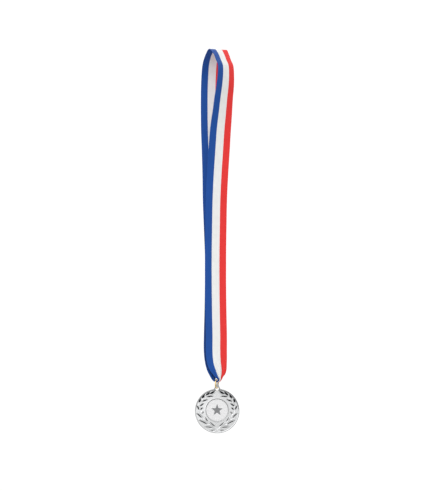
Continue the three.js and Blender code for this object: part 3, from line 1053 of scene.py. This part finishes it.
def make_insert(material):
    """The centre plate, with the star pressed into its front."""
    angles = circle_angles(INSERT_SECTORS)
    rows = [(r, None) for r in np.linspace(0.1, 8.4, 64)]
    rows += [(r, INSERT_FRONT_Y) for r in (9.5, 11, 12.1)]
    rows += [(12.3, INSERT_FRONT_Y + 0.03), (12.44, INSERT_FRONT_Y + 0.1)]
    rows += [(INSERT_RADIUS, INSERT_FRONT_Y + 0.2), (INSERT_RADIUS, INSERT_BACK_Y - 0.1)]
    rows += [(12.4, INSERT_BACK_Y), (6, INSERT_BACK_Y), (0.1, INSERT_BACK_Y)]
    centre_z = MEDAL_CENTRE_Z + RECESS_RISE
    points = []
    for radius, level in rows:
        x = radius * np.sin(angles)
        z = radius * np.cos(angles)
        if level is None:
            y = INSERT_FRONT_Y + STAR_DEPTH * smooth(star_depth(x, z), -0.06, 0.12)
        else:
            y = np.full(INSERT_SECTORS, level)
        points.append(np.stack([x, y, z + centre_z], axis=1))
    faces = capped_tube_faces(len(rows), INSERT_SECTORS)
    insert = new_piece("centre_disc", np.concatenate(points), faces, material, "insert_silver")
    x, y, z = points_of(insert.data).T
    pressed = smooth(star_depth(x, z - centre_z), -0.04, 0.08)
    on_front = y < INSERT_FRONT_Y + STAR_DEPTH + 0.01
    store_values(insert.data, "pressed", np.where(on_front, pressed, 0))
    return insert


def insert_material():
    """Fine matt silver with the pressed star left dull grey."""
    material, tree, shader = new_material("insert_silver", metallic=0.55, ior=1.5)
    point = object_point(tree)
    grain = noise(tree, point, scale=4200.0, detail=3, roughness=0.6)
    clouds = noise(tree, point, scale=120.0)
    pressed = attribute(tree, "pressed")
    colour = mix_colour(tree, pressed, srgb(240, 240, 241), srgb(140, 141, 143))
    tone = maths(tree, "MULTIPLY_ADD", grain, 0.06, ranged(tree, clouds, 0.945, 0.995))
    colour = tinted(tree, colour, tone)
    roughness = ranged(tree, grain, 0.42, 0.54)
    normal = bump(tree, grain, 0.00001, 0.5)
    connect(tree, shader, base_color=colour, roughness=roughness, normal=normal)
    return material


def adhesive_material():
    """Double-sided foam tape, with fine open cells."""
    material, tree, shader = new_material("adhesive", roughness=0.8)
    point = object_point(tree)
    cells = add_node(tree, "TexVoronoi", {"Vector": point, "Scale": 2600.0})
    colour = mix_colour(tree, cells, srgb(226, 222, 210), srgb(247, 245, 238))
    connect(tree, shader, base_color=colour, normal=bump(tree, cells, 0.00005))
    return material


# ---- jump ring ----------------------------------------------------------------------------

RING_TURN = 20  # degrees about Z, its front to the left
RING_SPLIT = 5  # degrees of the gap where the wire's ends meet
SPLIT_AT = 40  # degrees that the gap's middle lies above level, at the back
CUT_END = 0.86  # the chamfered ends' share of the wire's radius
RING_STEPS = 180
WIRE_SIDES = 28


def make_jump_ring(material):
    """A round wire bent to a circle, its cut ends chamfered and butted at the back."""
    turn = math.radians(-RING_TURN)
    across = np.array([-math.cos(turn), -math.sin(turn), 0])
    turns = circle_angles(WIRE_SIDES)
    points = []
    for step in range(RING_STEPS + 1):
        swept = (360 - RING_SPLIT) * step / RING_STEPS
        angle = math.radians(SPLIT_AT + RING_SPLIT / 2 + swept)
        level = math.cos(angle)
        out = np.array([-level * math.sin(turn), level * math.cos(turn), math.sin(angle)])
        wire = WIRE_RADIUS * (CUT_END if step in (0, RING_STEPS) else 1)
        reach = (RING_RADIUS + wire * np.cos(turns))[:, None]
        points.append(RING_CENTRE + out * reach + across * (wire * np.sin(turns))[:, None])
    faces = capped_tube_faces(RING_STEPS + 1, WIRE_SIDES)
    return new_piece("split_ring", np.concatenate(points), faces, material, "ring_brass")


def brass_material():
    """Gold-coloured plating, warmer where it has worn thin."""
    material, tree, shader = new_material("ring_brass", metallic=1.0)
    point = object_point(tree)
    wear = smooth_step(tree, noise(tree, point, scale=420.0, detail=3), 0.45, 0.7)
    drawn = add_node(tree, "Mapping", {0: point, "Scale": (9, 1, 1)})
    lines = noise(tree, drawn, scale=1500.0)
    colour = mix_colour(tree, wear, srgb(240, 208, 130), srgb(200, 146, 72))
    roughness = ranged(tree, wear, 0.18, 0.3)
    normal = bump(tree, lines, 0.00001, 0.5)
    connect(tree, shader, base_color=colour, roughness=roughness, normal=normal)
    return material


# ---- assembly -----------------------------------------------------------------------------

stitching = make_stitching(thread_material())
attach(stitching, "ribbon_bottom")
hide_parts("seam_thread")

ribbon, ribbon_length = make_ribbon(ribbon_material())
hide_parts("ribbon_upper", "ribbon_lower")
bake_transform(ribbon)

ring = make_jump_ring(brass_material())
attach(ring, "ring")
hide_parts("jump_ring")

medal = make_medal_disc(silver_material())
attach(medal, "medal")
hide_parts("medal_disc")

insert = make_insert(insert_material())
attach(insert, "medal")
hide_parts("centre_insert")

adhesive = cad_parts["insert_adhesive"]
adhesive.data.materials.clear()
adhesive.data.materials.append(adhesive_material())

# ---- studio -------------------------------------------------------------------------------

FLOOR_Z = -1.2
FLOOR_RADIUS = 7.0
BACKDROP = 1.05  # the white that the camera sees behind the medal
STUDIO_LEVELS = (0.66, 0.87)  # the light from behind the medal, and from in front of it
LEFT_LIGHT = 0.95  # added in front on the left
OVERHEAD_LIGHT = 0.55  # added from above
SCREEN_SHADE = 0.4  # the share of the light that the screen takes away


def make_floor():
    """A wide pale floor below the medal."""
    material, tree, shader = new_material("floor_pale", roughness=0.7)
    mottle = noise(tree, object_point(tree), scale=3.0)
    colour = mix_colour(tree, mottle, srgb(186, 186, 185), srgb(192, 192, 191))
    connect(tree, shader, base_color=colour)
    edge = [(math.cos(a), math.sin(a)) for a in circle_angles(64)]
    points = [(FLOOR_RADIUS * x, FLOOR_RADIUS * y, FLOOR_Z) for x, y in edge]
    shape = bpy.data.meshes.new("floor")
    shape.from_pydata(points, [], [tuple(range(len(points)))])
    shape.materials.append(material)
    floor = bpy.data.objects.new("floor", shape)
    bpy.context.scene.collection.objects.link(floor)


def make_world():
    """A white studio, brighter in front, on the left and overhead.

    A grey screen stands in front of the medal, just above the camera's line.
    """
    world = bpy.data.worlds.new("studio")
    bpy.context.scene.world = world
    world.use_nodes = True
    tree = world.node_tree
    tree.nodes.clear()
    x, y, z = axis_parts(tree, add_node(tree, "TexCoord"))
    overhead = smooth_step(tree, z, 0.3, 0.75)
    front = smooth_step(tree, y, 0.2, -0.6)
    left = maths(tree, "MULTIPLY", smooth_step(tree, x, 0.15, -0.6), front)
    level = ranged(tree, front, *STUDIO_LEVELS)
    level = maths(tree, "MULTIPLY_ADD", left, LEFT_LIGHT, level)
    level = maths(tree, "MULTIPLY_ADD", overhead, OVERHEAD_LIGHT, level)
    above = smooth_step(tree, z, 0.02, 0.06)
    below = smooth_step(tree, z, 0.34, 0.28)
    screen = maths(tree, "MULTIPLY", above, below)
    screen = maths(tree, "MULTIPLY", screen, smooth_step(tree, y, -0.8, -0.9))
    light = maths(tree, "MULTIPLY", level, ranged(tree, screen, 1.0, 1.0 - SCREEN_SHADE))
    seen = add_node(tree, "LightPath")
    strength = add_node(tree, "Mix", {0: seen, 2: light, 3: BACKDROP}, data_type="FLOAT")
    background = add_node(tree, "Background", {"Color": (1, 1, 1, 1), "Strength": strength})
    end = tree.nodes.new("ShaderNodeOutputWorld")
    tree.links.new(background, end.inputs[0])


make_floor()
make_world()
